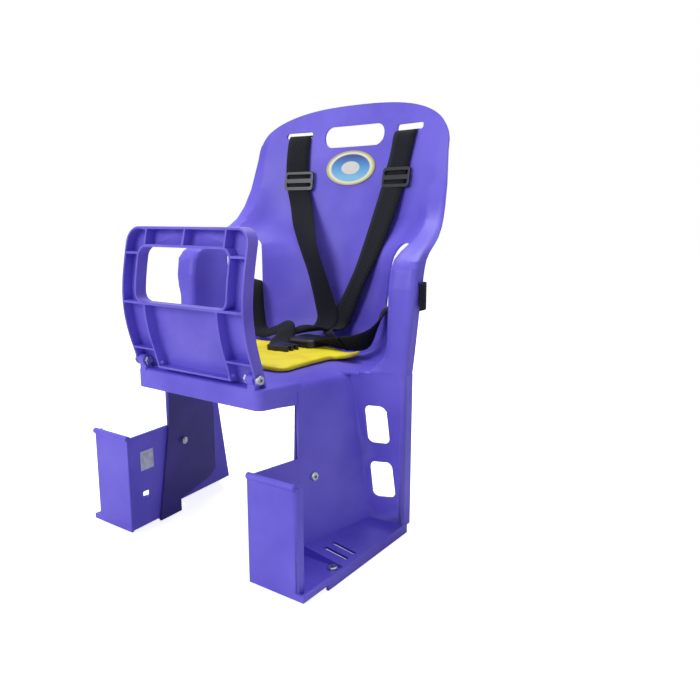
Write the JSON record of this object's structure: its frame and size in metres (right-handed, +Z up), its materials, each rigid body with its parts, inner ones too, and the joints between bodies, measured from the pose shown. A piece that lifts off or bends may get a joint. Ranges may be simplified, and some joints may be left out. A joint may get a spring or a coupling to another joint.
{
  "type": "child bicycle seat",
  "caption": "Moulded child seat for a bicycle's rear rack: winged bucket on straddling legs with foot boxes, a hinged ribbed front guard, a seat pad and a webbing harness.",
  "frame": {"origin": "on the ground, below the middle of the seat's bounding box", "axes": "+Z up, -Y the way the child faces, +X the child's left"},
  "size_m": [0.372, 0.3197, 0.51],
  "materials": {
    "shell_plastic": "fine-grained moulded polypropylene, satin",
    "guard_plastic": "moulded polypropylene, satin",
    "plate_plastic": "moulded polypropylene, satin",
    "zinc_steel": "zinc-plated, bright",
    "webbing": "woven polyester webbing",
    "black_plastic": "satin",
    "pad_vinyl": "padded vinyl, soft gloss",
    "badge_print": "gloss",
    "sticker_paper": "matt"
  },
  "bodies": {
    "seat": {"seat_shell": "shell_plastic", "spoke_guard_left": "plate_plastic", "guard_pivot_bolt_left": "zinc_steel", "guard_pivot_nut_left": "zinc_steel", "leg_bolt_left": "zinc_steel", "leg_nut_left": "zinc_steel", "floor_screw_left": "zinc_steel", "floor_nut_left": "zinc_steel", "shoulder_strap_left": "webbing", "waist_strap_left": "webbing", "shoulder_slider_left": "black_plastic", "spoke_guard_right": "plate_plastic", "guard_pivot_bolt_right": "zinc_steel", "guard_pivot_nut_right": "zinc_steel", "leg_bolt_right": "zinc_steel", "leg_nut_right": "zinc_steel", "floor_screw_right": "zinc_steel", "floor_nut_right": "zinc_steel", "shoulder_strap_right": "webbing", "waist_strap_right": "webbing", "shoulder_slider_right": "black_plastic", "buckle_socket": "black_plastic", "buckle_plug": "black_plastic", "seat_pad": "pad_vinyl", "oval_badge": "badge_print", "foot_sticker": "sticker_paper"},
    "guard": {"guard_bar": "guard_plastic"}
  },
  "joints": [
    {"name": "guard_pivot", "type": "hinge", "parent": "seat", "child": "guard", "pos_m": [0, -0.13495, 0.2085], "axis": [1, 0, 0], "range_deg": [0, 95]}
  ]
}
